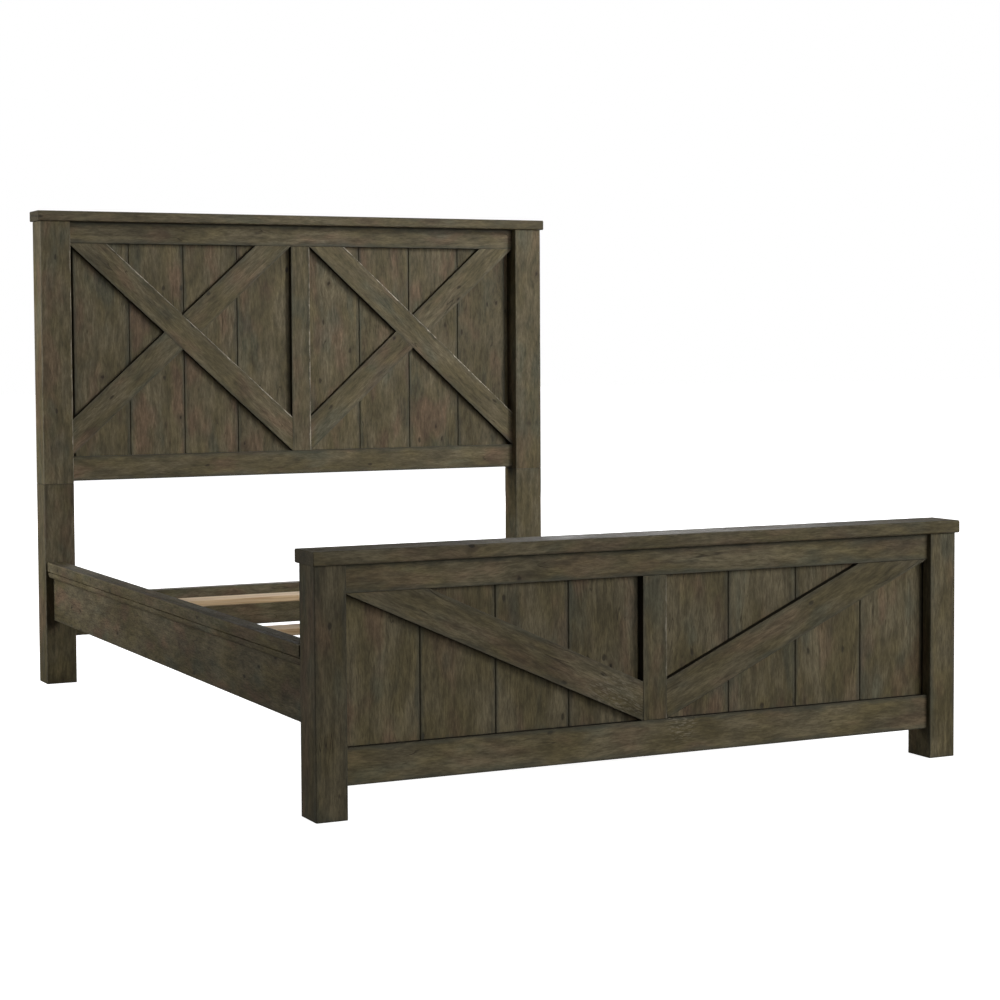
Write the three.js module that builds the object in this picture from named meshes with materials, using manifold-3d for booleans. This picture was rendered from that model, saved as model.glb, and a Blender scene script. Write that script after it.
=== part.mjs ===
// Queen-size panel bed frame in solid wood: cross-braced plank headboard and
// footboard, side rails on hook plates, and slats with centre legs.
//
// Millimetres, +Z up. X is the width (+X to the right seen from the foot end),
// -Y is the foot end, +Y is the head end. The origin is at the middle of the
// footprint, on the floor.

import * as THREE from 'three';
import { mergeVertices } from 'three/addons/utils/BufferGeometryUtils.js';
import Module from 'manifold-3d';

const wasm = await Module();
wasm.setup();

// ---------------------------------------------------------------- dimensions

const GAP = 0.3;                 // assembly clearance between touching pieces
const HALF_WIDTH = 828;          // outer face of the posts
const BED_LENGTH = 2140;         // front face of foot posts to front face of head posts

const PLANK_T = 14;              // plank thickness
const PLANK_CHAMFER = 2.2;       // eased long edges that make the V joints
const BRACE_T = 17;              // brace thickness, laid on the planks
const STILE_HALF = 30.5;         // half width of the middle stiles
const RAIL_T = 44;               // thickness of the panel rails and stiles
const GROOVE_DEPTH = 10;         // groove that houses the planks
const TONGUE = 8;                // plank length inside a groove
const TENON = 22;                // tenon length

// Headboard: depths count back from the front face of the head posts.
const HEAD = {
  postW: 91, postD: 84, seamZ: 594, capZ: 1370, topZ: 1400,
  capEnd: 7, capFront: 10, capBack: 5,
  railFront: 26, plankFront: 44,
  topRailZ: 1307, midRailTopZ: 672, midRailZ: 600,
  lowRailZ: 137, lowRailTopZ: 260, lowRailT: 34,
  plankEnd: 720, braceW: 78,
  spigot: 40, spigotL: 30,
};

// Footboard: depths count back from the front face of the foot posts.
const FOOT = {
  postW: 73, postD: 86, capZ: 541, topZ: 571,
  capEnd: 5, capFront: 10, capBack: 12,
  railFront: 12, plankFront: 30,
  topRailZ: 479, bottomRailTopZ: 152, bottomRailZ: 71,
  braceW: 81,
  stileReveal: 3.5, postReveal: 8,   // gaps between the planks' faces and the frame
};

const SIDE = {
  inset: 24, t: 30, z: 190, topZ: 363,
  mouldInset: 6, mouldZ: 316, mouldFootGap: 20, mouldHeadGap: 2,
  beadInset: 2.5, grooveDepth: 5, grooveZ: [333, 336.5],
  plateW: 24, plateT: 3.4, plateZ: 206, plateTopZ: 347,
  hookX: 4, hookReach: 18, hookZ: [236, 300],
};

const SLAT = {
  cleat: 30, cleatZ: 218, endGap: 24, t: 18, w: 90,
  y: [400, 1113, 1826], leg: 45, legZ: 22,
  footR: 16, stemR: 4, stemTop: 52, boreR: 4.5,
};

// ----------------------------------------------------------------- materials

const finish = (color, roughness = 0.8, metalness = 0) =>
  new THREE.MeshStandardMaterial({ color, roughness, metalness });

const MAT = {
  frame: finish('#574d41'),
  plank: finish('#4f483b'),
  brace: finish('#5d5345'),
  rail: finish('#52493d'),
  seam: finish('#2b2824'),
  softwood: finish('#b79a72', 0.75),
  steel: finish('#3a3b3d', 0.45, 0.9),
  glide: finish('#1d1d1e', 0.6),
};

// ------------------------------------------------------------ solid building

const AXES = {
  x: [new THREE.Vector3(0, 1, 0), new THREE.Vector3(0, 0, 1), new THREE.Vector3(1, 0, 0)],
  y: [new THREE.Vector3(1, 0, 0), new THREE.Vector3(0, 0, 1), new THREE.Vector3(0, -1, 0)],
  z: [new THREE.Vector3(1, 0, 0), new THREE.Vector3(0, 1, 0), new THREE.Vector3(0, 0, 1)],
};

// Rectangular block from its limits along X, Y and Z.
function block([x0, x1], [y0, y1], [z0, z1]) {
  const g = new THREE.BoxGeometry(x1 - x0, y1 - y0, z1 - z0);
  return g.translate((x0 + x1) / 2, (y0 + y1) / 2, (z0 + z1) / 2);
}

// Prism of an outline, from a to b along one axis. The outline is in (y, z) for
// axis x, in (x, z) for axis y and in (x, y) for axis z.
function prism(axis, outline, a, b) {
  const shape = new THREE.Shape(outline.map(([u, v]) => new THREE.Vector2(u, v)));
  const g = new THREE.ExtrudeGeometry(shape, { depth: b - a, bevelEnabled: false });
  g.applyMatrix4(new THREE.Matrix4().makeBasis(...AXES[axis]));
  const start = axis === 'y' ? b : a;
  return g.translate(axis === 'x' ? start : 0, axis === 'y' ? start : 0, axis === 'z' ? start : 0);
}

// Rectangle with its corners cut off, as an outline.
function eased([u0, u1], [v0, v1], c) {
  return [
    [u0 + c, v0], [u1 - c, v0], [u1, v0 + c], [u1, v1 - c],
    [u1 - c, v1], [u0 + c, v1], [u0, v1 - c], [u0, v0 + c],
  ];
}

function toSolid(geometry) {
  const g = geometry.clone();
  g.deleteAttribute('normal');
  g.deleteAttribute('uv');
  const merged = mergeVertices(g, 1e-4);
  return new wasm.Manifold(new wasm.Mesh({
    numProp: 3,
    vertProperties: new Float32Array(merged.attributes.position.array),
    triVerts: new Uint32Array(merged.index.array),
  }));
}

// Joins and cuts a geometry, and returns the result as a geometry.
function shaped(base, { add = [], cut = [] }) {
  let solid = toSolid(base);
  for (const g of add) solid = solid.add(toSolid(g));
  for (const g of cut) solid = solid.subtract(toSolid(g));
  const mesh = solid.getMesh();
  const g = new THREE.BufferGeometry();
  g.setAttribute('position', new THREE.BufferAttribute(new Float32Array(mesh.vertProperties), 3));
  g.setIndex(new THREE.BufferAttribute(new Uint32Array(mesh.triVerts), 1));
  g.computeVertexNormals();
  return g;
}

// Adds a named mesh to a group, with its geometry centred on its own position.
function place(group, name, material, geometry) {
  geometry.computeBoundingBox();
  const c = geometry.boundingBox.getCenter(new THREE.Vector3());
  geometry.translate(-c.x, -c.y, -c.z);
  const mesh = new THREE.Mesh(geometry, material);
  mesh.name = name;
  mesh.position.copy(c);
  group.add(mesh);
  return mesh;
}

// Mirrors a pair of x limits to the side given by its sign (-1 left, +1 right).
const onSide = (side, [a, b]) => (side < 0 ? [-b, -a] : [a, b]);
const mirrorX = (side, points) => points.map(([u, v]) => [side * u, v]);
const grow = ([a, b], d = GAP) => [a - d, b + d];
const SIDES = [[-1, 'left'], [1, 'right']];

// --------------------------------------------------------- panels and braces

// Keeps the part of a convex outline where a*u + b*v <= c.
function clip(outline, a, b, c) {
  const out = [];
  outline.forEach((p, i) => {
    const q = outline[(i + 1) % outline.length];
    const dp = a * p[0] + b * p[1] - c;
    const dq = a * q[0] + b * q[1] - c;
    if (dp <= 0) out.push(p);
    if ((dp < 0 && dq > 0) || (dp > 0 && dq < 0)) {
      const t = dp / (dp - dq);
      out.push([p[0] + t * (q[0] - p[0]), p[1] + t * (q[1] - p[1])]);
    }
  });
  return out;
}

// A bay is {x: [x0, x1], z: [z0, z1]}. A diagonal runs from one corner to the
// other, falling or rising along +X; its normal points up.
function diagonal(bay, falling) {
  const [x0, x1] = bay.x;
  const [z0, z1] = bay.z;
  const start = falling ? [x0, z1] : [x0, z0];
  const end = falling ? [x1, z0] : [x1, z1];
  const len = Math.hypot(end[0] - start[0], end[1] - start[1]);
  const n = [-(end[1] - start[1]) / len, (end[0] - start[0]) / len];
  return { n, d: n[0] * start[0] + n[1] * start[1] };
}

const bayOutline = (bay) => {
  const [x0, x1] = grow(bay.x, -GAP);
  const [z0, z1] = grow(bay.z, -GAP);
  return [[x0, z0], [x1, z0], [x1, z1], [x0, z1]];
};

// The band that lies on the upper side of a diagonal, w wide.
function band(outline, { n, d }, w) {
  return clip(clip(outline, -n[0], -n[1], -d), n[0], n[1], d + w);
}
const below = (outline, { n, d }) => clip(outline, n[0], n[1], d - GAP);
const above = (outline, { n, d }, w) => clip(outline, -n[0], -n[1], -(d + w + GAP));

// Upright planks side by side. The joints are the x positions of the seams, from
// the outer end to the hidden edge inside the stile's groove. Where a shoulder is
// given for an end, the face stops there and a thinner tongue runs on to the end.
function planks(group, name, xs, [y0, y1], [z0, z1], shoulders = []) {
  const sorted = [...xs].sort((a, b) => a - b);
  const c = PLANK_CHAMFER;
  const back = y1 - PLANK_T / 2;
  for (let i = 0; i < sorted.length - 1; i += 1) {
    const [a, b] = grow([sorted[i], sorted[i + 1]], -GAP / 2);
    const faceA = shoulders.find((x) => x > a && x < b - 2 * TONGUE) ?? a;
    const faceB = shoulders.find((x) => x < b && x > a + 2 * TONGUE) ?? b;
    const outline = [
      [faceA + c, y0], [faceB - c, y0], [faceB, y0 + c],
      ...(faceB < b ? [[faceB, back], [b, back]] : []), [b, y1],
      [a, y1], ...(faceA > a ? [[a, back], [faceA, back]] : []), [faceA, y0 + c],
    ];
    place(group, `${name}_${i + 1}`, MAT.plank, prism('z', outline, z0, z1));
  }
}

// Middle stile: grooved on both sides for the planks, with stub tenons.
function stile(group, name, front, plankFront, [z0, z1]) {
  const back = front + RAIL_T;
  const s = STILE_HALF;
  const [g0, g1] = grow([plankFront, plankFront + PLANK_T]);
  const outline = [
    [-s, front], [s, front], [s, g0], [s - GROOVE_DEPTH, g0], [s - GROOVE_DEPTH, g1],
    [s, g1], [s, back], [-s, back], [-s, g1], [-s + GROOVE_DEPTH, g1],
    [-s + GROOVE_DEPTH, g0], [-s, g0],
  ];
  const stub = s - GROOVE_DEPTH;
  const depth = [plankFront, plankFront + PLANK_T];
  place(group, name, MAT.frame, shaped(prism('z', outline, z0 + GAP, z1 - GAP), {
    add: [
      block([-stub, stub], depth, [z0 - TONGUE, z0 + 20]),
      block([-stub, stub], depth, [z1 - 20, z1 + TONGUE]),
    ],
  }));
}

// Horizontal panel rail between two posts, with a tenon at each end and, on its
// upper or lower edge, a groove for the planks.
function panelRail(group, name, half, [y0, y1], [z0, z1], tenon, groove) {
  let outline = [[y0, z0], [y1, z0], [y1, z1], [y0, z1]];
  if (groove) {
    const [g0, g1] = grow(groove.y);
    outline = groove.edge === 'lower'
      ? [[y0, z0], [g0, z0], [g0, z0 + GROOVE_DEPTH], [g1, z0 + GROOVE_DEPTH], [g1, z0],
        [y1, z0], [y1, z1], [y0, z1]]
      : [[y0, z0], [y1, z0], [y1, z1], [g1, z1], [g1, z1 - GROOVE_DEPTH],
        [g0, z1 - GROOVE_DEPTH], [g0, z1], [y0, z1]];
  }
  const end = half - GAP;
  place(group, name, MAT.frame, shaped(prism('x', outline, -end, end), {
    add: SIDES.map(([s]) => block(onSide(s, [end - 5, half + TENON]), tenon.y, tenon.z)),
  }));
}

// Cap board across the top of a panel, housed over a square spigot on each post.
function capBoard(group, name, end, [y0, y1], [z0, z1], spigots) {
  place(group, name, MAT.frame, shaped(prism('x', eased([y0, y1], [z0, z1], 3), -end, end), {
    cut: spigots.map(([x, y, z]) => block(grow(x), grow(y), [z[0] - 5, z[1] + GAP])),
  }));
}

// ----------------------------------------------------------------- headboard

const headboard = new THREE.Group();
headboard.position.y = BED_LENGTH;
{
  const h = HEAD;
  const inner = HALF_WIDTH - h.postW;
  const plankY = [h.plankFront, h.plankFront + PLANK_T];
  const railY = [h.railFront, h.railFront + RAIL_T];
  const tenonY = [h.railFront + 12, h.railFront + 26];
  const rails = {
    top: { z: [h.topRailZ, h.capZ - GAP], tenon: { y: tenonY, z: [1322, 1360] } },
    mid: { z: [h.midRailZ, h.midRailTopZ], tenon: { y: tenonY, z: [608, 656] } },
    low: { z: [h.lowRailZ, h.lowRailTopZ], tenon: { y: tenonY, z: [149, 248] } },
  };
  const mortise = (side, tenon) =>
    block(onSide(side, [inner - 5, inner + TENON + 0.5]), grow(tenon.y), grow(tenon.z));

  const mid = [HALF_WIDTH - h.postW / 2, h.postD / 2];
  const square = (size) => [
    [mid[0] - size / 2, mid[0] + size / 2],
    [mid[1] - size / 2, mid[1] + size / 2],
  ];
  const capSpigots = [];
  for (const [side, word] of SIDES) {
    const postX = onSide(side, [inner, HALF_WIDTH]);
    const [sx, sy] = square(h.spigot);
    const spigotZ = [h.seamZ - h.spigotL, h.seamZ + 20];
    const [tx, ty] = square(30);
    const topSpigot = [onSide(side, tx), ty, [h.capZ - 10, h.capZ + 12]];
    capSpigots.push(topSpigot);
    place(headboard, `headboard_post_${word}`, MAT.frame, shaped(
      prism('z', eased(postX, [0, h.postD], 2), h.seamZ + GAP, h.capZ - GAP),
      {
        add: [block(onSide(side, sx), sy, spigotZ), block(...topSpigot)],
        cut: [mortise(side, rails.top.tenon), mortise(side, rails.mid.tenon)],
      },
    ));

    const hookX = HALF_WIDTH - SIDE.inset - SIDE.t / 2;
    const slots = SIDE.hookZ.map((z) => block(
      onSide(side, [hookX - SIDE.hookX / 2 - 1, hookX + SIDE.hookX / 2 + 1]),
      [-5, SIDE.hookReach + 4], [z - 18, z + 24],
    ));
    place(headboard, `headboard_leg_${word}`, MAT.frame, shaped(
      prism('z', eased(postX, [0, h.postD], 2), 0, h.seamZ),
      {
        cut: [
          block(grow(onSide(side, sx)), grow(sy), [h.seamZ - h.spigotL - 0.5, h.seamZ + 5]),
          mortise(side, rails.low.tenon), ...slots,
        ],
      },
    ));

    // Upright cleat behind the planks' outer ends, screwed to the post.
    place(headboard, `headboard_cleat_${word}`, MAT.seam, block(
      onSide(side, [inner - 47, inner - GAP]),
      [plankY[1] + GAP, plankY[1] + 22],
      [h.midRailTopZ + GAP, h.topRailZ - GAP],
    ));
  }

  capBoard(headboard, 'headboard_cap', HALF_WIDTH + h.capEnd,
    [-h.capFront, h.postD + h.capBack], [h.capZ, h.topZ], capSpigots);
  panelRail(headboard, 'headboard_top_rail', inner, railY, rails.top.z, rails.top.tenon,
    { edge: 'lower', y: plankY });
  panelRail(headboard, 'headboard_mid_rail', inner, railY, rails.mid.z, rails.mid.tenon,
    { edge: 'upper', y: plankY });
  panelRail(headboard, 'headboard_low_rail', inner, [h.railFront, h.railFront + h.lowRailT],
    rails.low.z, rails.low.tenon, null);
  const opening = [h.midRailTopZ, h.topRailZ];
  stile(headboard, 'headboard_stile', h.railFront, h.plankFront, opening);

  const plankZ = [opening[0] - TONGUE, opening[1] + TONGUE];
  const hidden = STILE_HALF - 6;
  const pitch = (h.plankEnd - 32) / 4;
  const seams = [1, 2, 3].map((i) => 32 + i * pitch);
  const edges = [hidden, ...seams, h.plankEnd];
  planks(headboard, 'headboard_plank_left', edges.map((x) => -x), plankY, plankZ);
  planks(headboard, 'headboard_plank_right', edges, plankY, plankZ);

  const braceY = [h.plankFront - GAP - BRACE_T, h.plankFront - GAP];
  for (const [side, word] of SIDES) {
    const bay = { x: onSide(side, [STILE_HALF, inner]), z: opening };
    const area = bayOutline(bay);
    const falling = diagonal(bay, true);
    const rising = diagonal(bay, false);
    const second = band(area, rising, h.braceW);
    place(headboard, `headboard_brace_${word}`, MAT.brace,
      prism('y', band(area, falling, h.braceW), ...braceY));
    place(headboard, `headboard_brace_${word}_lower`, MAT.brace,
      prism('y', below(second, falling), ...braceY));
    place(headboard, `headboard_brace_${word}_upper`, MAT.brace,
      prism('y', above(second, falling, h.braceW), ...braceY));
  }
}

// ----------------------------------------------------------------- footboard

const footboard = new THREE.Group();
{
  const f = FOOT;
  const inner = HALF_WIDTH - f.postW;
  const plankY = [f.plankFront, f.plankFront + PLANK_T];
  const railY = [f.railFront, f.railFront + RAIL_T];
  const tenonY = [f.railFront + 20, f.railFront + 34];
  const opening = [f.bottomRailTopZ, f.topRailZ];
  const tenons = {
    top: { y: tenonY, z: [494, 532] },
    bottom: { y: tenonY, z: [80, 136] },
  };
  const mortise = (side, tenon) =>
    block(onSide(side, [inner - 5, inner + TENON + 0.5]), grow(tenon.y), grow(tenon.z));
  const plankZ = [opening[0] - TONGUE, opening[1] + TONGUE];
  const capSpigots = [];

  for (const [side, word] of SIDES) {
    const postX = onSide(side, [inner, HALF_WIDTH]);
    const mid = [HALF_WIDTH - f.postW / 2, f.postD / 2];
    const spigot = [
      onSide(side, [mid[0] - 15, mid[0] + 15]), [mid[1] - 15, mid[1] + 15],
      [f.capZ - 10, f.capZ + 12],
    ];
    capSpigots.push(spigot);
    const hookX = HALF_WIDTH - SIDE.inset - SIDE.t / 2;
    const slots = SIDE.hookZ.map((z) => block(
      onSide(side, [hookX - SIDE.hookX / 2 - 1, hookX + SIDE.hookX / 2 + 1]),
      [f.postD - SIDE.hookReach - 4, f.postD + 5], [z - 18, z + 24],
    ));
    place(footboard, `footboard_post_${word}`, MAT.frame, shaped(
      prism('z', eased(postX, [0, f.postD], 2), 0, f.capZ - GAP),
      {
        add: [block(...spigot)],
        cut: [
          mortise(side, tenons.top), mortise(side, tenons.bottom), ...slots,
          block(onSide(side, [inner - 5, inner + TONGUE]), grow(plankY), grow(plankZ)),
        ],
      },
    ));
  }

  capBoard(footboard, 'footboard_cap', HALF_WIDTH + f.capEnd,
    [-f.capFront, f.postD + f.capBack], [f.capZ, f.topZ], capSpigots);
  panelRail(footboard, 'footboard_top_rail', inner, railY, [f.topRailZ, f.capZ - GAP],
    tenons.top, { edge: 'lower', y: plankY });
  panelRail(footboard, 'footboard_bottom_rail', inner, railY, [f.bottomRailZ, f.bottomRailTopZ],
    tenons.bottom, { edge: 'upper', y: plankY });
  stile(footboard, 'footboard_stile', f.railFront, f.plankFront, opening);

  const hidden = STILE_HALF - 6;
  const outer = inner + 6;
  const shoulders = [STILE_HALF + f.stileReveal, inner - f.postReveal];
  planks(footboard, 'footboard_plank_left', [-outer, -574, -393, -212, -hidden],
    plankY, plankZ, shoulders.map((x) => -x));
  planks(footboard, 'footboard_plank_right', [hidden, 205, 389, 572, outer],
    plankY, plankZ, shoulders);

  const braceY = [f.plankFront - GAP - BRACE_T, f.plankFront - GAP];
  for (const [side, word] of SIDES) {
    const bay = { x: onSide(side, [STILE_HALF, inner]), z: opening };
    const line = diagonal(bay, side < 0);
    place(footboard, `footboard_brace_${word}`, MAT.brace,
      prism('y', band(bayOutline(bay), line, f.braceW), ...braceY));
  }
}

// ---------------------------------------------------------------- side rails

const sides = new THREE.Group();
{
  const s = SIDE;
  const y0 = FOOT.postD;
  const y1 = BED_LENGTH;
  const boardX = [HALF_WIDTH - s.inset - s.t, HALF_WIDTH - s.inset];
  const midX = (boardX[0] + boardX[1]) / 2;
  const plateX = [midX - s.plateW / 2, midX + s.plateW / 2];
  const plateZ = [s.plateZ, s.plateTopZ];

  for (const [side, word] of SIDES) {
    // Main board, with a shallow recess at each end for its hook plate.
    const recess = s.plateT + 2 * GAP;
    place(sides, `side_rail_${word}`, MAT.rail, shaped(
      block(onSide(side, boardX), [y0 + GAP, y1 - GAP], [s.z, s.topZ]),
      {
        cut: [
          block(onSide(side, grow(plateX)), [y0 - 5, y0 + recess], grow(plateZ)),
          block(onSide(side, grow(plateX)), [y1 - recess, y1 + 5], grow(plateZ)),
        ],
      },
    ));

    // Moulding on the upper outside edge: a flat fillet over a smaller bead, with a
    // narrow groove between them.
    const a = boardX[1] + GAP;
    const b = HALF_WIDTH - s.mouldInset;
    const bead = b - s.beadInset;
    const grooveX = bead - s.grooveDepth;
    const [grooveZ, grooveTopZ] = s.grooveZ;
    const profile = [
      [a, s.mouldZ], [bead - 10, s.mouldZ], [bead - 4, s.mouldZ + 1.5], [bead - 1, s.mouldZ + 5],
      [bead, s.mouldZ + 9], [bead, grooveZ], [grooveX, grooveZ], [grooveX, grooveTopZ],
      [b, grooveTopZ], [b, s.topZ - 2], [b - 2, s.topZ], [a, s.topZ],
    ];
    place(sides, `side_moulding_${word}`, MAT.rail,
      prism('y', mirrorX(side, profile), y0 + s.mouldFootGap, y1 - s.mouldHeadGap));

    // Cleat that carries the slats, screwed inside the board.
    place(sides, `slat_cleat_${word}`, MAT.softwood, block(
      onSide(side, [boardX[0] - SLAT.cleat, boardX[0] - GAP]),
      [y0 + SLAT.endGap, y1 - SLAT.endGap],
      [SLAT.cleatZ, SLAT.cleatZ + SLAT.cleat],
    ));

    // Steel hook plates: two hooks drop into slots in the post.
    const hookX = onSide(side, [midX - s.hookX / 2, midX + s.hookX / 2]);
    for (const [end, dir, word2] of [[y0, -1, 'foot'], [y1, 1, 'head']]) {
      const along = (p, q) => (dir < 0 ? [end - q, end - p] : [end + p, end + q]);
      const plate = block(onSide(side, plateX), along(-s.plateT - GAP, -GAP), plateZ);
      const hooks = s.hookZ.flatMap((z) => [
        block(hookX, along(-1, s.hookReach), [z, z + 16]),
        block(hookX, along(s.hookReach - 7, s.hookReach), [z - 14, z + 16]),
      ]);
      place(sides, `hook_plate_${word2}_${word}`, MAT.steel, shaped(plate, { add: hooks }));
    }
  }
}

// -------------------------------------------------------- slats, legs, glides

const support = new THREE.Group();
{
  const s = SLAT;
  const half = HALF_WIDTH - SIDE.inset - SIDE.t - 2;
  const slatZ = s.cleatZ + s.cleat + GAP;
  s.y.forEach((y, i) => {
    const n = i + 1;
    place(support, `slat_${n}`, MAT.softwood, prism('x',
      eased([y - s.w / 2, y + s.w / 2], [slatZ, slatZ + s.t], 2), -half, half));

    const bore = new THREE.CylinderGeometry(s.boreR, s.boreR, 60, 24)
      .rotateX(Math.PI / 2).translate(0, y, s.legZ + 25);
    place(support, `centre_leg_${n}`, MAT.softwood, shaped(
      block([-s.leg / 2, s.leg / 2], [y - s.leg / 2, y + s.leg / 2], [s.legZ, slatZ - GAP]),
      { cut: [bore] },
    ));

    // Levelling glide: a flat foot on a stem that screws up into the leg.
    const profile = [
      [0, 0], [s.footR - 1.5, 0], [s.footR, 1.5], [s.footR, 5], [s.footR - 4, 8],
      [s.stemR, 8.5], [s.stemR, s.stemTop - 1], [s.stemR - 1, s.stemTop], [0, s.stemTop],
    ].map(([r, z]) => new THREE.Vector2(r, z));
    const glide = new THREE.LatheGeometry(profile, 24).rotateX(Math.PI / 2);
    place(support, `levelling_glide_${n}`, MAT.glide, glide.translate(0, y, 0));
  });
}

// ------------------------------------------------------------------ assembly

const bed = new THREE.Group();
bed.add(headboard, footboard, sides, support);

// Centre the footprint on the origin.
const front = -FOOT.capFront;
const back = BED_LENGTH + HEAD.postD + HEAD.capBack;
bed.position.y = -(front + back) / 2;

export default bed;
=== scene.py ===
"""Looks for the bed frame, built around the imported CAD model.

Everything is in metres in the shared frame: X is the width, the foot end is
towards -Y, Z is up, and the floor is at zero.
"""

import math
import random

import bmesh
import bpy
from mathutils import Matrix, Vector


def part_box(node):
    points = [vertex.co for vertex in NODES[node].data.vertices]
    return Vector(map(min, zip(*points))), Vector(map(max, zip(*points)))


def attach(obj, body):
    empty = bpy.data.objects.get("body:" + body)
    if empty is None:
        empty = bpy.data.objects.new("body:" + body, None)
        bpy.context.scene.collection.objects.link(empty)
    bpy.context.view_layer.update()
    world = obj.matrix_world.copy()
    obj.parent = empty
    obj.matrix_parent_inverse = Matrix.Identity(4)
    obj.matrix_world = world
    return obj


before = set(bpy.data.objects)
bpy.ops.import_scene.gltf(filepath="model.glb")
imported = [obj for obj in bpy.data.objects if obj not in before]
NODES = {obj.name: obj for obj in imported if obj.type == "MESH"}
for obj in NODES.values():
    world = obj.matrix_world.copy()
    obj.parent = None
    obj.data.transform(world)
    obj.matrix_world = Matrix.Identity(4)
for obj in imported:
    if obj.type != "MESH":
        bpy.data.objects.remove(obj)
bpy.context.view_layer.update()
X_AXIS, Y_AXIS, Z_AXIS = Vector((1, 0, 0)), Vector((0, 1, 0)), Vector((0, 0, 1))


# ------------------------------------------------------------ camera and stage

CAMERA_PLACE = Vector((-2.5190, -5.3532, 1.0000))
CAMERA_YAW, CAMERA_PITCH, CAMERA_ROLL = 25.557, 3.0, -0.363
CAMERA_LENS, CAMERA_SHIFT = 79.276, (0.0400, -0.0404)

AMBIENT = 0.12
FLOOR_REACH, FLOOR_GREY = 40, 0.9

# Each softbox's name, place, target, side, power and the width of its beam in degrees.
# A key light from the right and a broad one from the front, a narrow one on the
# headboard, two fills that reach the left faces, and one at the back that gives the
# tops their sheen.
SOFTBOXES = (
    ("key", (3.2, -4.4, 2.0), (0, 0, 0.7), 2.0, 125, 180),
    ("head", (2.9, -2.2, 3.1), (0.4, 1.03, 1.05), 0.9, 9.5, 48),
    ("front", (1.5, -12.0, 2.6), (0, 0, 0.7), 5.0, 290, 180),
    ("fill_left", (-3.2, 1.6, 1.5), (-0.83, 1.07, 0.8), 1.2, 8.5, 64),
    ("fill_side", (-5.5, 1.3, 1.5), (-0.8, -0.5, 0.4), 1.6, 105, 180),
    ("back", (4.0, 7.5, 2.6), (0, 0, 0.6), 4.0, 210, 180),
)


def add_camera():
    """A long lens at the foot end, left of the middle, about a metre up."""
    yaw, pitch, roll = (math.radians(a) for a in (CAMERA_YAW, CAMERA_PITCH, CAMERA_ROLL))
    level = Vector((math.sin(yaw), math.cos(yaw), 0))
    right = Vector((math.cos(yaw), -math.sin(yaw), 0))
    ahead = level * math.cos(pitch) - Z_AXIS * math.sin(pitch)
    up = Z_AXIS * math.cos(pitch) + level * math.sin(pitch)
    right, up = (
        right * math.cos(roll) + up * math.sin(roll),
        up * math.cos(roll) - right * math.sin(roll),
    )
    data = bpy.data.cameras.new("camera")
    data.lens = CAMERA_LENS
    data.shift_x, data.shift_y = CAMERA_SHIFT
    camera = bpy.data.objects.new("camera", data)
    camera.matrix_world = Matrix.Translation(CAMERA_PLACE) @ Matrix(
        (right, up, -ahead)
    ).transposed().to_4x4()
    bpy.context.scene.collection.objects.link(camera)
    bpy.context.scene.camera = camera


def add_softbox(name, place, target, size, power, spread):
    """A square area light that faces its target and isn't seen by the camera."""
    data = bpy.data.lights.new(name, "AREA")
    data.size, data.energy, data.spread = size, power, math.radians(spread)
    lamp = bpy.data.objects.new(name, data)
    lamp.visible_camera = False
    lamp.location = place
    lamp.rotation_euler = (Vector(target) - Vector(place)).to_track_quat("-Z", "Y").to_euler()
    bpy.context.scene.collection.objects.link(lamp)


def add_surroundings():
    """A white backdrop, and a dimmer even light from all round."""
    scene = bpy.context.scene
    scene.view_settings.view_transform = "Standard"
    scene.world = bpy.data.worlds.new("world")
    scene.world.use_nodes = True
    t = Tree(scene.world.node_tree)
    background = scene.world.node_tree.nodes["Background"]
    background.inputs["Color"].default_value = (1, 1, 1, 1)
    seen = t.add("ShaderNodeLightPath").outputs["Is Camera Ray"]
    strength = t.plus(t.mul(seen, 1.0 - AMBIENT), AMBIENT)
    t.feed(background.inputs["Strength"], strength)


def add_floor():
    """A plain pale floor that shows faint shadows near the object, fades into the
    backdrop, and throws no light back."""
    mesh = bpy.data.meshes.new("floor")
    corners = [(x * FLOOR_REACH, y * FLOOR_REACH, 0) for x, y in ((-1, -1), (1, -1), (1, 1), (-1, 1))]
    mesh.from_pydata(corners, [], [(0, 1, 2, 3)])
    floor = bpy.data.objects.new("floor", mesh)
    bpy.context.scene.collection.objects.link(floor)
    floor.visible_diffuse = floor.visible_glossy = False
    paint, t, shader = new_material("floor_paint")
    shader.inputs["Base Color"].default_value = (FLOOR_GREY, FLOOR_GREY, FLOOR_GREY, 1)
    shader.inputs["Roughness"].default_value = 0.9
    shader.inputs["Specular IOR Level"].default_value = 0.0
    shader.inputs["Emission Color"].default_value = (1, 1, 1, 1)
    away = t.add("ShaderNodeVectorMath", operation="LENGTH")
    t.feed(away.inputs[0], t.add("ShaderNodeTexCoord").outputs["Object"])
    t.feed(shader.inputs["Emission Strength"], t.span(away.outputs["Value"], 1.5, 6.0, 0.88, 1.0))
    mesh.materials.append(paint)


def add_stage():
    add_surroundings()
    add_floor()
    for softbox in SOFTBOXES:
        add_softbox(*softbox)


# --------------------------------------------------------------- node building


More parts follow.
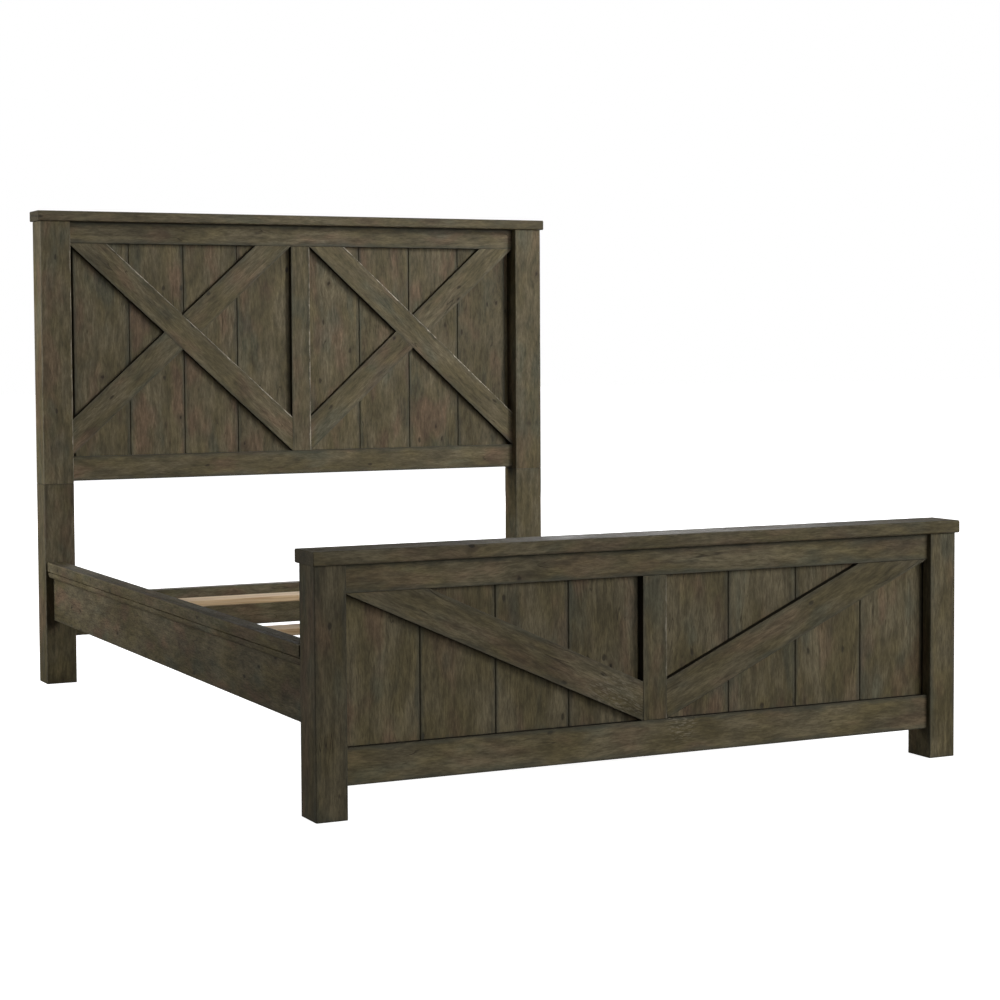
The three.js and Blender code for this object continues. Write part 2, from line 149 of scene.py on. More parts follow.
class Tree:
    """Short calls for building a node tree. Each returns an output socket."""

    def __init__(self, tree):
        self.tree = tree

    def add(self, kind, **settings):
        node = self.tree.nodes.new(kind)
        for key, value in settings.items():
            setattr(node, key, value)
        return node

    def feed(self, socket, value):
        if isinstance(value, bpy.types.NodeSocket):
            self.tree.links.new(value, socket)
        elif value is not None:
            socket.default_value = value

    def math(self, operation, *values):
        node = self.add("ShaderNodeMath", operation=operation)
        for socket, value in zip(node.inputs, values):
            self.feed(socket, value)
        return node.outputs[0]

    def mul(self, a, b):
        return self.math("MULTIPLY", a, b)

    def plus(self, a, b):
        return self.math("ADD", a, b)

    def minus(self, a, b):
        return self.math("SUBTRACT", a, b)

    def split(self, vector):
        node = self.add("ShaderNodeSeparateXYZ")
        self.feed(node.inputs[0], vector)
        return node.outputs

    def join(self, *parts):
        node = self.add("ShaderNodeCombineXYZ")
        for socket, value in zip(node.inputs, parts):
            self.feed(socket, value)
        return node.outputs[0]

    def stretch(self, vector, factors, offset=None):
        """Vector times the three factors, plus an offset."""
        operation = "MULTIPLY" if offset is None else "MULTIPLY_ADD"
        node = self.add("ShaderNodeVectorMath", operation=operation)
        for socket, value in zip(node.inputs, (vector, factors, offset)):
            self.feed(socket, value)
        return node.outputs[0]

    def noise(self, at, detail=2.0, rough=0.5):
        node = self.add("ShaderNodeTexNoise", noise_dimensions="3D")
        self.feed(node.inputs["Vector"], at)
        for key, value in (("Scale", 1.0), ("Detail", detail), ("Roughness", rough)):
            node.inputs[key].default_value = value
        return node.outputs[0]

    def swing(self, at, detail=2.0, rough=0.5):
        """Noise about zero."""
        return self.minus(self.noise(at, detail, rough), 0.5)

    def cells(self, at):
        """2D cells: distance to the nearest point, a random number each, and the point."""
        node = self.add("ShaderNodeTexVoronoi", voronoi_dimensions="2D", feature="F1")
        self.feed(node.inputs["Vector"], at)
        node.inputs["Scale"].default_value = 1.0
        node.inputs["Randomness"].default_value = 0.85
        random_number = self.split(node.outputs["Color"])[0]
        return node.outputs["Distance"], random_number, node.outputs["Position"]

    def span(self, value, low, high, to_low=0.0, to_high=1.0):
        """Smooth step from low to high, clamped."""
        node = self.add("ShaderNodeMapRange", interpolation_type="SMOOTHSTEP")
        for socket, given in zip(node.inputs, (value, low, high, to_low, to_high)):
            self.feed(socket, given)
        return node.outputs[0]

    def mix(self, factor, a, b, blend="MIX"):
        node = self.add("ShaderNodeMix", data_type="RGBA", blend_type=blend, clamp_factor=True)
        self.feed(node.inputs[0], factor)
        for index, value in ((6, a), (7, b)):
            if isinstance(value, tuple) and len(value) == 3:
                value = (*value, 1.0)
            self.feed(node.inputs[index], value)
        return node.outputs[2]

    def shade(self, colour, amount):
        """Colour times a grey amount."""
        return self.mix(1.0, colour, self.join(amount, amount, amount), "MULTIPLY")

    def bump(self, height, strength, distance):
        node = self.add("ShaderNodeBump")
        node.inputs["Strength"].default_value = strength
        node.inputs["Distance"].default_value = distance
        self.feed(node.inputs["Height"], height)
        return node.outputs[0]


def new_material(name):
    """A material, its tree and its shader."""
    material = bpy.data.materials.new(name)
    material.use_nodes = True
    return material, Tree(material.node_tree), material.node_tree.nodes["Principled BSDF"]


# --------------------------------------------------------------- weathered wood

WOOD_INPUTS = (
    ("At", "NodeSocketVector", (0, 0, 0)),
    ("Half", "NodeSocketVector", (1, 1, 1)),
    ("Seed", "NodeSocketFloat", 0.0),
    ("Tone", "NodeSocketFloat", 1.0),
    ("Warm", "NodeSocketFloat", 0.5),
    ("Wear", "NodeSocketFloat", 0.5),
    ("Lean", "NodeSocketVector", (0, 0, 0)),
    ("Scuff", "NodeSocketVector", (0, 0, 0)),
    ("Dark Joints", "NodeSocketFloat", 0.0),
    ("Knots", "NodeSocketFloat", 0.3),
    ("Side Shade", "NodeSocketFloat", 0.0),
    ("Pith", "NodeSocketVector", (0, 0, 0.08)),
)

# The wood's colours, from the stain's wide patches to the worn places, with painted shade for the
# side faces and a painted highlight among them.
OLIVE, OLIVE_GREY = (0.088, 0.071, 0.034), (0.094, 0.078, 0.046)
REDDISH, COOL_GREY = (0.110, 0.070, 0.043), (0.063, 0.067, 0.047)
PORE, CRACK, PIN_KNOT = (0.034, 0.029, 0.019), (0.026, 0.020, 0.013), (0.026, 0.021, 0.013)
KNOT_RIM, KNOT_CORE = (0.060, 0.044, 0.026), (0.020, 0.016, 0.010)
JOINT_HALO, JOINT_LINE = (0.036, 0.042, 0.034), (0.024, 0.022, 0.014)
# Painted shade for the boards' side faces, and the darker end grain.
PAINTED_SIDE_SHADE, END_GRAIN = (0.016, 0.013, 0.008), (0.040, 0.033, 0.023)
# Worn wood, also used as a painted highlight along the lit arris, and the painted highlight itself.
WORN_AND_HIGHLIT, PAINTED_HIGHLIGHT = (0.190, 0.165, 0.118), (0.55, 0.49, 0.39)

RINGS_PER_METRE = 120.0
KNOTS_ALONG, KNOTS_ACROSS = 4.6, 7.0  # cells per metre that may hold a knot
FAR_AWAY = 9.0  # added to the distance of a knot that is left out


def make_wood_group():
    """Grey-brown weathered pine, as a solid pattern.

    At is a place in the board, in metres: x along the grain, y across the face,
    z through the thickness towards the face that shows. Half is half the board's
    size the same way. Lean adds wear and a painted highlight along one long arris:
    its y is the strength, with the sign of the side. Scuff is a worn place: x and y
    are its middle, and z is its length. Pith is the middle of the growth rings: y
    and z are its place, and x is how far they shift with each metre of the board.
    """
    group = bpy.data.node_groups.new("weathered_wood", "ShaderNodeTree")
    for name, kind, value in WOOD_INPUTS:
        socket = group.interface.new_socket(name, in_out="INPUT", socket_type=kind)
        socket.default_value = value
    for name, kind in (("Color", "NodeSocketColor"), ("Roughness", "NodeSocketFloat"),
                       ("Normal", "NodeSocketVector")):
        group.interface.new_socket(name, in_out="OUTPUT", socket_type=kind)
    t = Tree(group)
    given = t.add("NodeGroupInput").outputs
    result = t.add("NodeGroupOutput").inputs
    at, half, seed = given["At"], given["Half"], given["Seed"]
    x, y, z = t.split(at)
    drift = t.join(t.mul(seed, 3.17), t.mul(seed, 5.71), t.mul(seed, 1.93))

    # Knots, with the grain bulging round them.
    knot_at = t.stretch(t.join(x, y, 0.0), (KNOTS_ALONG, KNOTS_ACROSS, 0.0), drift)
    distance, chance, point = t.cells(knot_at)
    absent = t.math("GREATER_THAN", chance, given["Knots"])
    ragged = t.mul(t.swing(t.stretch(at, (80, 130, 130), drift)), 0.09)
    knot_far = t.plus(distance, t.mul(absent, FAR_AWAY))
    pull = t.span(knot_far, 0.0, 0.34, 0.7, 0.0)
    off_line = t.mul(t.minus(t.split(knot_at)[1], t.split(point)[1]), 1 / KNOTS_ACROSS)
    y_knot = t.minus(y, t.mul(off_line, pull))
    knot_far = t.plus(knot_far, ragged)

    # The grain wanders along the board.
    bend = t.mul(t.swing(t.stretch(at, (1.6, 5.0, 5.0), drift), 1.0), 0.045)
    ripple = t.mul(t.swing(t.stretch(at, (14.0, 30, 30), drift)), 0.006)
    y_grain = t.plus(y_knot, t.plus(bend, ripple))
    grain = t.join(x, y_grain, z)

    # Growth rings round a pith outside the board.
    pith_x, pith_y, pith_z = t.split(given["Pith"])
    ring_y, ring_z = t.minus(y_grain, pith_y), t.minus(z, pith_z)
    radius = t.math("SQRT", t.plus(t.mul(ring_y, ring_y), t.mul(ring_z, ring_z)))
    radius = t.plus(radius, t.mul(x, pith_x))
    uneven = t.noise(t.stretch(grain, (0.9, 50, 50), drift), 1.0)
    phase = t.math("FRACT", t.plus(t.mul(radius, RINGS_PER_METRE), t.mul(uneven, 2.5)))
    late = t.mul(t.span(phase, 0.35, 0.86), t.span(phase, 0.86, 1.0, 1.0, 0.0))
    faint = t.span(t.noise(t.stretch(at, (7.0, 22, 22), drift), 1.0), 0.36, 0.62)
    late = t.mul(late, faint)

    # Fibres in three sizes, short open pores and hairline cracks.
    wide = t.noise(t.stretch(grain, (5.0, 17, 17), drift), 2.0)
    middle = t.noise(t.stretch(grain, (20, 80, 80), drift), 3.0, 0.60)
    fine = t.noise(t.stretch(grain, (58, 290, 290), drift), 3.0, 0.65)
    pores = t.span(t.noise(t.stretch(grain, (46, 800, 800), drift), 1.0), 0.60, 0.70)
    crack_line = t.math("ABSOLUTE", t.swing(t.stretch(grain, (4.5, 46, 46), drift), 1.0))
    crack_zone = t.span(t.noise(t.stretch(at, (9.0, 18, 18), drift), 1.0), 0.60, 0.68)
    crack = t.mul(t.span(crack_line, 0.0, 0.012, 1.0, 0.0), crack_zone)

    # Stain: olive brown, greyed, reddened and cooled in patches.
    patch_a = t.noise(t.stretch(grain, (6.0, 12, 12), drift), 2.0)
    patch_b = t.noise(t.stretch(grain, (6.0, 14, 14), t.stretch(drift, (1.7, 1.3, 2.1))), 2.0)
    patch_c = t.noise(t.stretch(grain, (6.0, 14, 14), t.stretch(drift, (2.3, 0.7, 1.1))), 2.0)
    colour = t.mix(t.span(patch_a, 0.36, 0.64), OLIVE, OLIVE_GREY)
    redness = t.mul(t.span(patch_b, 0.50, 0.68), given["Warm"])
    colour = t.mix(redness, colour, REDDISH)
    colour = t.mix(t.span(patch_c, 0.54, 0.72, 0.0, 0.50), colour, COOL_GREY)
    colour = t.shade(colour, t.span(wide, 0.28, 0.72, 0.80, 1.21))
    colour = t.shade(colour, t.span(middle, 0.28, 0.72, 0.74, 1.27))
    colour = t.shade(colour, t.span(fine, 0.28, 0.72, 0.80, 1.20))
    colour = t.shade(colour, t.span(late, 0.0, 1.0, 1.03, 0.86))
    colour = t.mix(t.mul(pores, 0.35), colour, PORE)
    rim = t.span(knot_far, 0.02, 0.11, 0.6, 0.0)
    colour = t.mix(rim, colour, KNOT_RIM)
    core = t.span(knot_far, 0.005, 0.042, 0.9, 0.0)
    colour = t.mix(core, colour, KNOT_CORE)

    # Small dark gouges and pin knots.
    pin_far, pin_chance, _ = t.cells(t.stretch(t.join(x, y_grain, 0.0), (11.0, 22.0, 0.0), drift))
    pin = t.mul(t.span(t.plus(pin_far, t.mul(ragged, 1.4)), 0.05, 0.13, 1.0, 0.0),
                t.math("LESS_THAN", pin_chance, t.mul(given["Knots"], 0.45)))
    colour = t.mix(t.mul(pin, 0.8), colour, PIN_KNOT)
    colour = t.mix(t.mul(crack, 0.7), colour, CRACK)

    # Edges: distance to the nearest long arris, and to the ends.
    half_x, half_y, half_z = t.split(half)
    inside_y = t.minus(half_y, t.math("ABSOLUTE", y))
    inside_z = t.minus(half_z, t.math("ABSOLUTE", z))
    inside_x = t.minus(half_x, t.math("ABSOLUTE", x))
    arris = t.math("MAXIMUM", inside_y, inside_z)
    smear = t.swing(t.stretch(at, (14, 60, 60), drift))
    scatter = t.swing(t.stretch(at, (60, 240, 240), drift), 2.0, 0.6)
    edge_far = t.math("MINIMUM", arris, inside_x)
    halo = t.span(t.plus(edge_far, t.mul(smear, 0.024)), 0.0005, 0.0150, 0.70, 0.0)
    colour = t.mix(t.mul(halo, given["Dark Joints"]), colour, JOINT_HALO)
    line = t.span(t.plus(edge_far, t.mul(smear, 0.003)), 0.0012, 0.0040, 0.9, 0.0)
    colour = t.mix(t.mul(line, given["Dark Joints"]), colour, JOINT_LINE)
    # Painted shade on the side faces, from a millimetre back from the face that shows, as much as the
    # side shade setting asks.
    side_depth = t.span(t.minus(half_z, z), 0.0010, 0.0045)
    side = t.mul(side_depth, t.span(inside_y, 0.0004, 0.0016, 1.0, 0.0))
    colour = t.mix(t.mul(side, given["Side Shade"]), colour, PAINTED_SIDE_SHADE)

    # Wear: thin all along the arrises, stronger along one of them, and in a scuff. The stronger band
    # also stands in for the highlight on the lit arris, with a painted highlight at its core.
    wear_far = t.plus(arris, t.plus(t.mul(scatter, 0.006), t.mul(smear, 0.004)))
    thin = t.mul(t.span(wear_far, 0.0003, 0.0034, 1.0, 0.0), given["Wear"])
    lean = t.split(given["Lean"])[1]
    leaning = t.mul(t.math("SIGN", y), lean)
    broken = t.span(t.noise(t.stretch(at, (7, 7, 7), drift), 2.0), 0.34, 0.56, 0.35, 1.0)
    near_face = t.span(t.minus(half_z, z), 0.0020, 0.0060, 1.0, 0.0)
    strong_far = t.plus(inside_y, t.plus(t.mul(scatter, 0.008), t.mul(smear, 0.010)))
    strong_wear_and_highlight = t.mul(t.mul(t.span(strong_far, 0.0010, 0.0036, 1.0, 0.0), broken), near_face)
    strong_wear_and_highlight = t.mul(strong_wear_and_highlight, t.math("MAXIMUM", leaning, 0.0))
    scuff_x, scuff_y, scuff_long = t.split(given["Scuff"])
    over_x = t.math("DIVIDE", t.minus(x, scuff_x), t.math("MAXIMUM", scuff_long, 0.001))
    over_y = t.mul(t.minus(y, scuff_y), 16.0)
    scuff_far = t.math("SQRT", t.plus(t.mul(over_x, over_x), t.mul(over_y, over_y)))
    scuffed = t.mul(t.span(scuff_far, 0.5, 1.0, 1.0, 0.0), t.math("GREATER_THAN", scuff_long, 0.0))
    rubbed = t.span(t.plus(scatter, t.minus(fine, 0.5)), -0.02, 0.22)
    wear = t.math("MAXIMUM", t.math("MAXIMUM", thin, strong_wear_and_highlight), t.mul(t.mul(scuffed, rubbed), 0.6))
    # The worn colour also paints the highlight of the stronger band along one arris.
    colour = t.mix(wear, colour, WORN_AND_HIGHLIT)
    # Painted highlight: a pale line at the lit arris where the lean is strong.
    painted_highlight = t.mul(t.span(strong_far, 0.0002, 0.0016, 1.0, 0.0), t.mul(near_face, broken))
    painted_highlight = t.mul(painted_highlight, t.span(leaning, 0.6, 1.0))
    colour = t.mix(painted_highlight, colour, PAINTED_HIGHLIGHT)
    end_grain = t.span(inside_x, 0.0004, 0.0016, 1.0, 0.0)
    colour = t.mix(t.mul(end_grain, 0.45), colour, END_GRAIN)
    # The tone also carries the painted light and shade that some boards are given.
    colour = t.shade(colour, given["Tone"])

    t.feed(result["Color"], colour)
    rough = t.plus(t.span(fine, 0.3, 0.7, 0.64, 0.52), t.span(patch_a, 0.3, 0.7, -0.06, 0.06))
    rough = t.plus(rough, t.plus(t.mul(wear, 0.10), t.mul(pores, 0.12)))
    t.feed(result["Roughness"], rough)

    height = t.plus(t.mul(fine, 0.35), t.mul(middle, 0.35))
    height = t.plus(height, t.mul(late, 0.15))
    height = t.minus(height, t.plus(t.mul(pores, 0.18), t.mul(crack, 1.0)))
    height = t.minus(height, t.plus(t.mul(core, 0.5), t.mul(pin, 0.6)))
    t.feed(result["Normal"], t.bump(height, strength=0.6, distance=0.0011))
    return group


# ---------------------------------------------------------------------- boards

USUAL_TONE, WARMTH, KNOT_SHARE = 1.04, 0.55, 0.17
BOARD_EDGE, MOULDING_EDGE, PLANK_EDGE = 0.0012, 0.0008, 0.0006
SLAT_EDGE, HARDWARE_EDGE = 0.0010, 0.0004


def grain_frame(name, along, across):
    """The turn into a board's own axes, its middle and its half size there."""
    turn = Matrix((along, across, along.cross(across)))
    points = [turn @ v.co for v in NODES[name].data.vertices]
    low = Vector([min(p[i] for p in points) for i in range(3)])
    high = Vector([max(p[i] for p in points) for i in range(3)])
    return turn, (low + high) / 2, (high - low) / 2


def place_in_board(t, turn, middle):
    """The shaded place in the board's own axes, from the board's middle."""
    place = t.add("ShaderNodeMapping", vector_type="POINT")
    place.inputs["Rotation"].default_value = turn.to_euler("XYZ")
    place.inputs["Location"].default_value = -middle
    t.feed(place.inputs["Vector"], t.add("ShaderNodeTexCoord").outputs["Object"])
    return place.outputs[0]


def wood_material(name, along, across, tone, wear, lean=0.0, scuff=(0, 0, 0),
                  joints=0.0, sides=0.0):
    """One board's own cut of the shared wood."""
    turn, middle, half = grain_frame(name, along, across)
    draw = random.Random(name)
    material, t, shader = new_material(name)
    wood = t.add("ShaderNodeGroup", node_tree=WOOD)
    values = {
        "At": place_in_board(t, turn, middle),
        "Half": half,
        "Seed": draw.uniform(1, 40),
        "Tone": tone * draw.uniform(0.95, 1.05),
        "Warm": WARMTH * draw.uniform(0.6, 1.4),
        "Wear": wear,
        "Lean": (0, lean, 0),
        "Scuff": scuff,
        "Dark Joints": joints,
        "Side Shade": sides,
        "Knots": KNOT_SHARE,
        "Pith": (draw.uniform(-0.02, 0.02), draw.uniform(-0.05, 0.05), -draw.uniform(0.05, 0.14)),
    }
    for key, value in values.items():
        t.feed(wood.inputs[key], value)
    t.feed(shader.inputs["Base Color"], wood.outputs["Color"])
    t.feed(shader.inputs["Roughness"], wood.outputs["Roughness"])
    t.feed(shader.inputs["Normal"], wood.outputs["Normal"])
    shader.inputs["Specular IOR Level"].default_value = 0.14
    return material


def soften(name, width):
    """Rounds a CAD node's sharp edges a little."""
    node = NODES[name]
    weld = node.modifiers.new("weld", "WELD")
    weld.merge_threshold = 1e-5
    bevel = node.modifiers.new("bevel", "BEVEL")
    bevel.width, bevel.segments = width, 2
    bevel.limit_method, bevel.angle_limit = "ANGLE", math.radians(40)
    bevel.use_clamp_overlap = False
    bevel.harden_normals = False
    normals = node.modifiers.new("normals", "WEIGHTED_NORMAL")
    normals.keep_sharp = False
    normals.weight = 100


def dress(name, material, width):
    """Gives a CAD node its material and its rounded edges."""
    data = NODES[name].data
    data.materials.clear()
    data.materials.append(material)
    soften(name, width)


# The way the grain runs, and the way across the face that shows.
UPRIGHT = {"along": Z_AXIS, "across": -X_AXIS}
LEVEL = {"along": X_AXIS, "across": Z_AXIS}

# Worn places, as the wood group's Scuff.
NO_SCUFF, BRACE_SCUFF, RAIL_SCUFF = (0, 0, 0), (0.31, -0.012, 0.10), (0.07, 0.035, 0.05)

# Boards made lighter or darker than the rest: partly the stain's own spread, and partly painted light
# and shade, such as the darker left foot post and left head leg, the lighter right foot post on the
# side the light comes from, and the lightened cleats in their shaded recesses.
BOARD_TONES_AND_PAINTED_LIGHT = {
    "headboard_post_right": 1.03,
    "headboard_top_rail": 0.98,
    "headboard_stile": 0.97,
    "headboard_plank_right_3": 0.98,
    "headboard_plank_right_4": 0.82,
    "headboard_leg_left": 0.89,
    "headboard_cleat_left": 1.20,
    "headboard_cleat_right": 1.15,
    "footboard_top_rail": 1.14,
    "footboard_bottom_rail": 1.23,
    "footboard_post_left": 0.80,
    "footboard_post_right": 1.10,
    "footboard_plank_left_1": 1.16,
    "footboard_plank_left_2": 1.10,
    "footboard_brace_left": 1.00,
    "side_rail_left": 0.84,
    "side_rail_right": 0.84,
    "side_moulding_left": 0.90,
    "side_moulding_right": 0.82,
}


def wood(name, width=BOARD_EDGE, **settings):
    """Dresses one board in the stained wood."""
    tone = BOARD_TONES_AND_PAINTED_LIGHT.get(name, USUAL_TONE)
    dress(name, wood_material(name, tone=tone, **settings), width)


def dress_panel(end):
    """The cap, rails, posts, stile and planks of one end."""
    # A lean puts stronger wear and a painted highlight on one arris of a board.
    wood(f"{end}_cap", **LEVEL, wear=0.55, joints=0.15)
    # The side setting paints shade on the side faces of a board.
    wood(f"{end}_top_rail", **LEVEL, joints=0.7, wear=0.1, lean=-0.2, sides=0.8)
    wood(f"{end}_stile", **UPRIGHT, joints=0.4, wear=0.2, sides=0.9,
         lean=-0.8 if end == "headboard" else -0.7)
    for side in ("left", "right"):
        if end == "headboard":
            wood(f"{end}_post_{side}", **UPRIGHT, wear=0.5, lean=-0.75, joints=0.15)
        else:
            wood(f"{end}_post_{side}", **UPRIGHT, wear=0.2, joints=0.45)
        for n in range(1, 5):
            wood(f"{end}_plank_{side}_{n}", width=PLANK_EDGE, **UPRIGHT, joints=0.6, wear=0.1,
                 lean=-0.8 if end == "footboard" and n == 4 else -0.25, sides=1.0)


def dress_braces(end, parts):
    """The braces of one end, one for each ending of the brace's name. The grain
    follows the diagonal of the bay."""
    lower_rail = "mid_rail" if end == "headboard" else "bottom_rail"
    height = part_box(f"{end}_top_rail")[0].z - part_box(f"{end}_{lower_rail}")[1].z
    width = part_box(f"{end}_post_right")[0].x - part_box(f"{end}_stile")[1].x
    for side in ("left", "right"):
        for part in parts:
            falling = part == "" and not (end == "footboard" and side == "right")
            along = Vector((width, 0, -height if falling else height)).normalized()
            across = Vector((-along.z, 0, along.x))
            worn_end = end == "footboard" and side == "left"
            # The lean puts stronger wear and a painted highlight on the arris that faces the light.
            if falling and end == "headboard":
                lean = 1.0 if side == "right" else 0.78
            else:
                lean = 0.2 if falling else -0.2
            wood(f"{end}_brace_{side}{part}", along=along, across=across, wear=0.2,
                 lean=lean, scuff=BRACE_SCUFF if worn_end else NO_SCUFF,
                 joints=0.4, sides=1.0)


def dress_wood():
    """Both ends, the headboard's lower parts and the side rails."""
    dress_panel("headboard")
    dress_panel("footboard")
    dress_braces("headboard", ("", "_lower", "_upper"))
    dress_braces("footboard", ("",))
    wood("headboard_mid_rail", **LEVEL, joints=0.6, wear=0.1, sides=0.8)
    wood("headboard_low_rail", **LEVEL, joints=0.4, wear=0.2)
    wood("footboard_bottom_rail", **LEVEL, joints=0.7, wear=0.1, scuff=RAIL_SCUFF, sides=1.0)
    for side in ("left", "right"):
        outward = Z_AXIS if side == "right" else -Z_AXIS
        lengthwise = {"along": Y_AXIS, "across": outward}
        wood(f"headboard_leg_{side}", **UPRIGHT, wear=0.5, joints=0.2)
        wood(f"headboard_cleat_{side}", **UPRIGHT, wear=0.0)
        wood(f"side_rail_{side}", **lengthwise, wear=0.2, joints=0.4)
        wood(f"side_moulding_{side}", width=MOULDING_EDGE, **lengthwise, wear=0.35, sides=0.5)


# ------------------------------------------------------------ pine, metal, nylon

PINE_EARLY, PINE_LATE = (0.56, 0.41, 0.245), (0.44, 0.285, 0.145)
PINE_KNOT_HALO, PINE_KNOT_BARK = (0.30, 0.155, 0.07), (0.085, 0.040, 0.020)
PINE_KNOT_HEART = (0.26, 0.125, 0.055)
PINE_RINGS_PER_METRE, PINE_KNOTS_ALONG, PINE_KNOT_SHARE = 190.0, 3.0, 0.3
STEEL_BLACK, NYLON_BLACK, ZINC = (0.045, 0.045, 0.048), (0.022, 0.022, 0.024), (0.42, 0.40, 0.34)


def pine_material(name, along, across):
    """Planed pale softwood: growth rings, fine fibres and a few knots."""
    turn, middle, _ = grain_frame(name, along, across)
    draw = random.Random(name)
    material, t, shader = new_material(name)
    at = place_in_board(t, turn, middle)
    drift = tuple(draw.uniform(3, 90) for _ in range(3))
    x, y, z = t.split(at)

    # Knots that pull the grain round them, and growth rings round a pith below the board.
    knot_at = t.stretch(t.join(x, y, 0.0), (PINE_KNOTS_ALONG, KNOTS_ACROSS, 0.0), drift)
    knot_far, chance, point = t.cells(knot_at)
    absent = t.math("GREATER_THAN", chance, PINE_KNOT_SHARE)
    knot_far = t.plus(knot_far, t.mul(absent, FAR_AWAY))
    off_line = t.mul(t.minus(t.split(knot_at)[1], t.split(point)[1]), 1 / KNOTS_ACROSS)
    pull = t.mul(off_line, t.span(knot_far, 0.0, 0.36, 0.8, 0.0))
    bend = t.mul(t.swing(t.stretch(at, (1.5, 6, 6), drift)), 0.03)
    y_grain = t.plus(t.minus(y, pull), bend)
    deep = t.plus(z, draw.uniform(0.04, 0.09))
    radius = t.math("SQRT", t.plus(t.mul(y_grain, y_grain), t.mul(deep, deep)))
    uneven = t.noise(t.stretch(t.join(x, y_grain, z), (0.8, 60, 60), drift), 2.0)
    phase = t.math("FRACT", t.plus(t.mul(radius, PINE_RINGS_PER_METRE), t.mul(uneven, 3.0)))
    late = t.mul(t.span(phase, 0.3, 0.85), t.span(phase, 0.85, 1.0, 1.0, 0.0))
    late = t.mul(late, t.span(t.noise(t.stretch(at, (2, 30, 30), drift)), 0.3, 0.6, 0.35, 1.0))
    fibre = t.noise(t.stretch(t.join(x, y_grain, z), (9, 420, 420), drift), 3.0, 0.6)
    blotch = t.noise(t.stretch(at, (3, 14, 14), drift))

    # Colour, with each knot as a halo, a dark bark ring and a ringed heart.
    colour = t.mix(late, PINE_EARLY, PINE_LATE)
    colour = t.shade(colour, t.span(fibre, 0.3, 0.7, 0.90, 1.08))
    colour = t.shade(colour, t.span(blotch, 0.3, 0.7, 0.90, 1.06))
    ragged = t.mul(t.swing(t.stretch(at, (160, 160, 160), drift)), 0.03)
    knot_far = t.plus(knot_far, ragged)
    colour = t.mix(t.span(knot_far, 0.06, 0.13, 0.55, 0.0), colour, PINE_KNOT_HALO)
    colour = t.mix(t.span(knot_far, 0.055, 0.068, 0.9, 0.0), colour, PINE_KNOT_BARK)
    heart_rings = t.span(t.math("FRACT", t.mul(knot_far, 70.0)), 0.3, 0.8, 0.6, 1.0)
    heart = t.mul(t.span(knot_far, 0.044, 0.054, 0.9, 0.0), heart_rings)
    colour = t.mix(heart, colour, PINE_KNOT_HEART)
    t.feed(shader.inputs["Base Color"], colour)
    t.feed(shader.inputs["Roughness"], t.span(fibre, 0.3, 0.7, 0.68, 0.58))
    shader.inputs["Specular IOR Level"].default_value = 0.2
    height = t.plus(t.mul(fibre, 0.5), t.mul(late, 0.12))
    t.feed(shader.inputs["Normal"], t.bump(height, strength=0.4, distance=0.0006))
    return material


def mottled_material(name, colour, rough, metallic, grain, depth):
    """One colour with fine mottling, an uneven gloss and a faint pitted bump. Grain
    is the pits' noise scale, and depth is how deep they are."""
    material, t, shader = new_material(name)
    at = t.add("ShaderNodeTexCoord").outputs["Object"]
    cloud = t.noise(t.stretch(at, (40, 40, 40)), 3.0, 0.6)
    speckle = t.noise(t.stretch(at, (grain, grain, grain)), 2.0)
    shaded = t.shade((*colour, 1.0), t.span(cloud, 0.3, 0.7, 0.80, 1.15))
    t.feed(shader.inputs["Base Color"], t.shade(shaded, t.span(speckle, 0.3, 0.7, 0.92, 1.06)))
    t.feed(shader.inputs["Roughness"], t.span(cloud, 0.3, 0.7, rough - 0.08, rough + 0.1))
    shader.inputs["Metallic"].default_value = metallic
    t.feed(shader.inputs["Normal"], t.bump(speckle, strength=0.5, distance=depth))
    return material


def dress_rest():
    """Slats, their cleats, the centre legs, the hook plates and the glides."""
    steel = mottled_material("dark_steel", STEEL_BLACK, 0.48, 0.9, 900, 0.0002)
    nylon = mottled_material("black_nylon", NYLON_BLACK, 0.55, 0.0, 500, 0.0003)
    for name in NODES:
        if name.startswith("slat_cleat"):
            dress(name, pine_material(name, Y_AXIS, Z_AXIS), BOARD_EDGE)
        elif name.startswith("slat_"):
            dress(name, pine_material(name, X_AXIS, Y_AXIS), SLAT_EDGE)
        elif name.startswith("centre_leg"):
            dress(name, pine_material(name, Z_AXIS, -X_AXIS), BOARD_EDGE)
        elif name.startswith("hook_plate"):
            dress(name, steel, HARDWARE_EDGE)
        elif name.startswith("levelling_glide"):
            dress(name, nylon, HARDWARE_EDGE)


# ---------------------------------------------------------------------- screws

HEAD_RADIUS, HEAD_RISE, HEAD_SINK = 0.0043, 0.0004, 0.0022
RECESS_REACH, RECESS_HALF, RECESS_DEPTH = 0.0024, 0.00055, 0.0013
HEAD_STEPS, HEAD_RINGS = 32, 14
SLAT_SCREW_INSET, SLAT_SCREW_OFFSET = 0.014, 0.022
CLEAT_SCREW_COUNT, CLEAT_SCREW_INSET = 8, 0.06


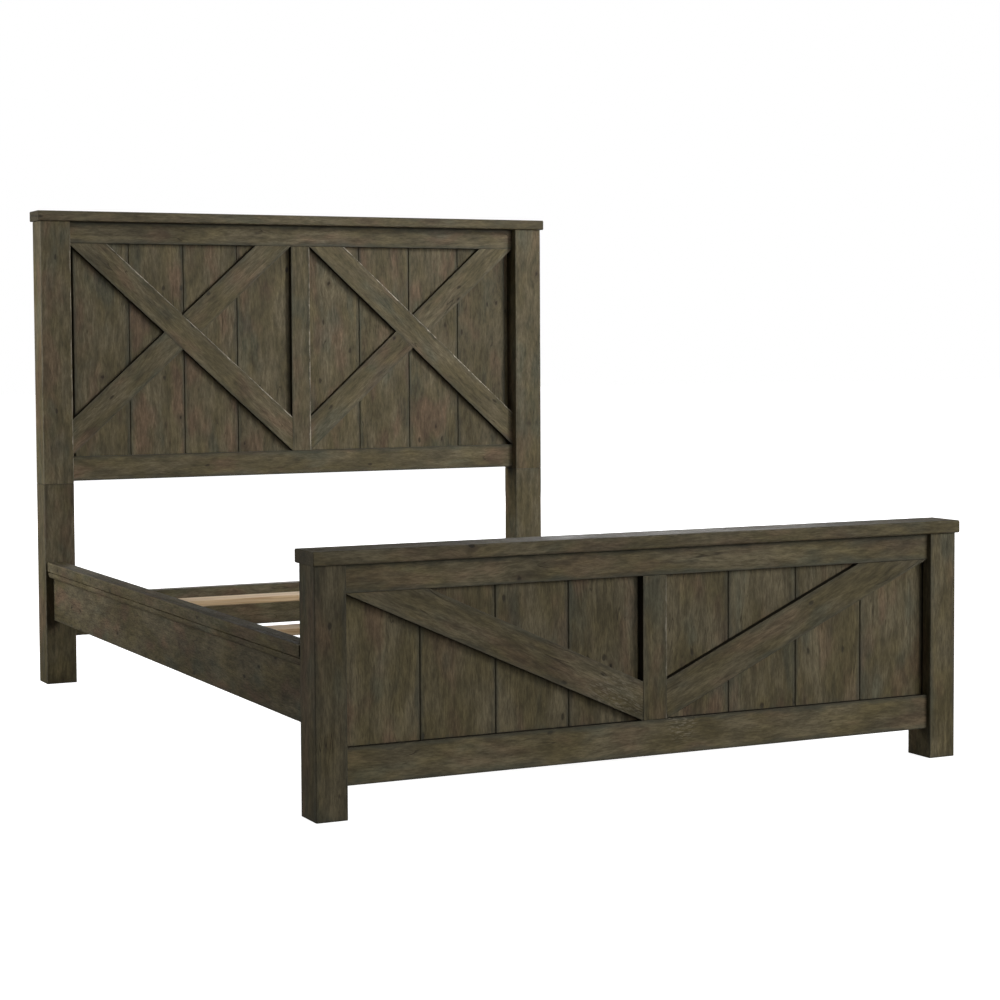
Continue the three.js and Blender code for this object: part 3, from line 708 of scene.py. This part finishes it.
def add_screw_head(shape, place, facing, spin):
    """A countersunk head with a cross recess, flush with the face it is driven into."""
    turn = facing.to_track_quat("Z", "Y").to_matrix().to_4x4() @ Matrix.Rotation(spin, 4, "Z")
    matrix = Matrix.Translation(place) @ turn
    centre = shape.verts.new(matrix @ Vector((0, 0, HEAD_RISE - RECESS_DEPTH)))
    rows = []
    for ring in range(1, HEAD_RINGS + 1):
        radius = HEAD_RADIUS * ring / HEAD_RINGS
        row = []
        for step in range(HEAD_STEPS):
            angle = math.tau * step / HEAD_STEPS
            px, py = radius * math.cos(angle), radius * math.sin(angle)
            sunk = radius < RECESS_REACH and min(abs(px), abs(py)) < RECESS_HALF
            pz = HEAD_RISE * (1 - (radius / HEAD_RADIUS) ** 2) - (RECESS_DEPTH if sunk else 0)
            row.append(shape.verts.new(matrix @ Vector((px, py, pz))))
        rows.append(row)
    tip = shape.verts.new(matrix @ Vector((0, 0, -HEAD_SINK)))
    for step in range(HEAD_STEPS):
        after = (step + 1) % HEAD_STEPS
        shape.faces.new((centre, rows[0][step], rows[0][after]))
        for inner, outer in zip(rows, rows[1:]):
            shape.faces.new((inner[step], outer[step], outer[after], inner[after]))
        shape.faces.new((rows[-1][step], tip, rows[-1][after]))


def add_screws(name, heads, material):
    """Joins screw heads, given as (place, facing), into one piece on the frame."""
    draw = random.Random(name)
    shape = bmesh.new()
    for place, facing in heads:
        add_screw_head(shape, place, facing, draw.uniform(0, math.pi))
    mesh = bpy.data.meshes.new(name)
    shape.to_mesh(mesh)
    shape.free()
    mesh.materials.append(material)
    piece = bpy.data.objects.new(name, mesh)
    bpy.context.scene.collection.objects.link(piece)
    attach(piece, "frame")


def fit_screws():
    """Six screws in each slat, two of them into its leg, and a row in each slat cleat."""
    zinc = mottled_material("zinc_plate", ZINC, 0.38, 1.0, 1200, 0.0001)
    heads = []
    for n in (1, 2, 3):
        low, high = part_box(f"slat_{n}")
        middle = (low + high) / 2
        for x in (low.x + SLAT_SCREW_INSET, middle.x, high.x - SLAT_SCREW_INSET):
            for dy in (-SLAT_SCREW_OFFSET, SLAT_SCREW_OFFSET):
                heads.append((Vector((x, middle.y + dy, high.z)), Z_AXIS))
    add_screws("slat_screws", heads, zinc)
    heads = []
    for side, inward in (("left", X_AXIS), ("right", -X_AXIS)):
        low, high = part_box(f"slat_cleat_{side}")
        x = high.x if side == "left" else low.x
        run = high.y - low.y - 2 * CLEAT_SCREW_INSET
        for i in range(CLEAT_SCREW_COUNT):
            y = low.y + CLEAT_SCREW_INSET + run * i / (CLEAT_SCREW_COUNT - 1)
            heads.append((Vector((x, y, (low.z + high.z) / 2)), inward))
    add_screws("cleat_screws", heads, zinc)


WOOD = make_wood_group()
add_camera()
add_stage()
dress_wood()
dress_rest()
fit_screws()
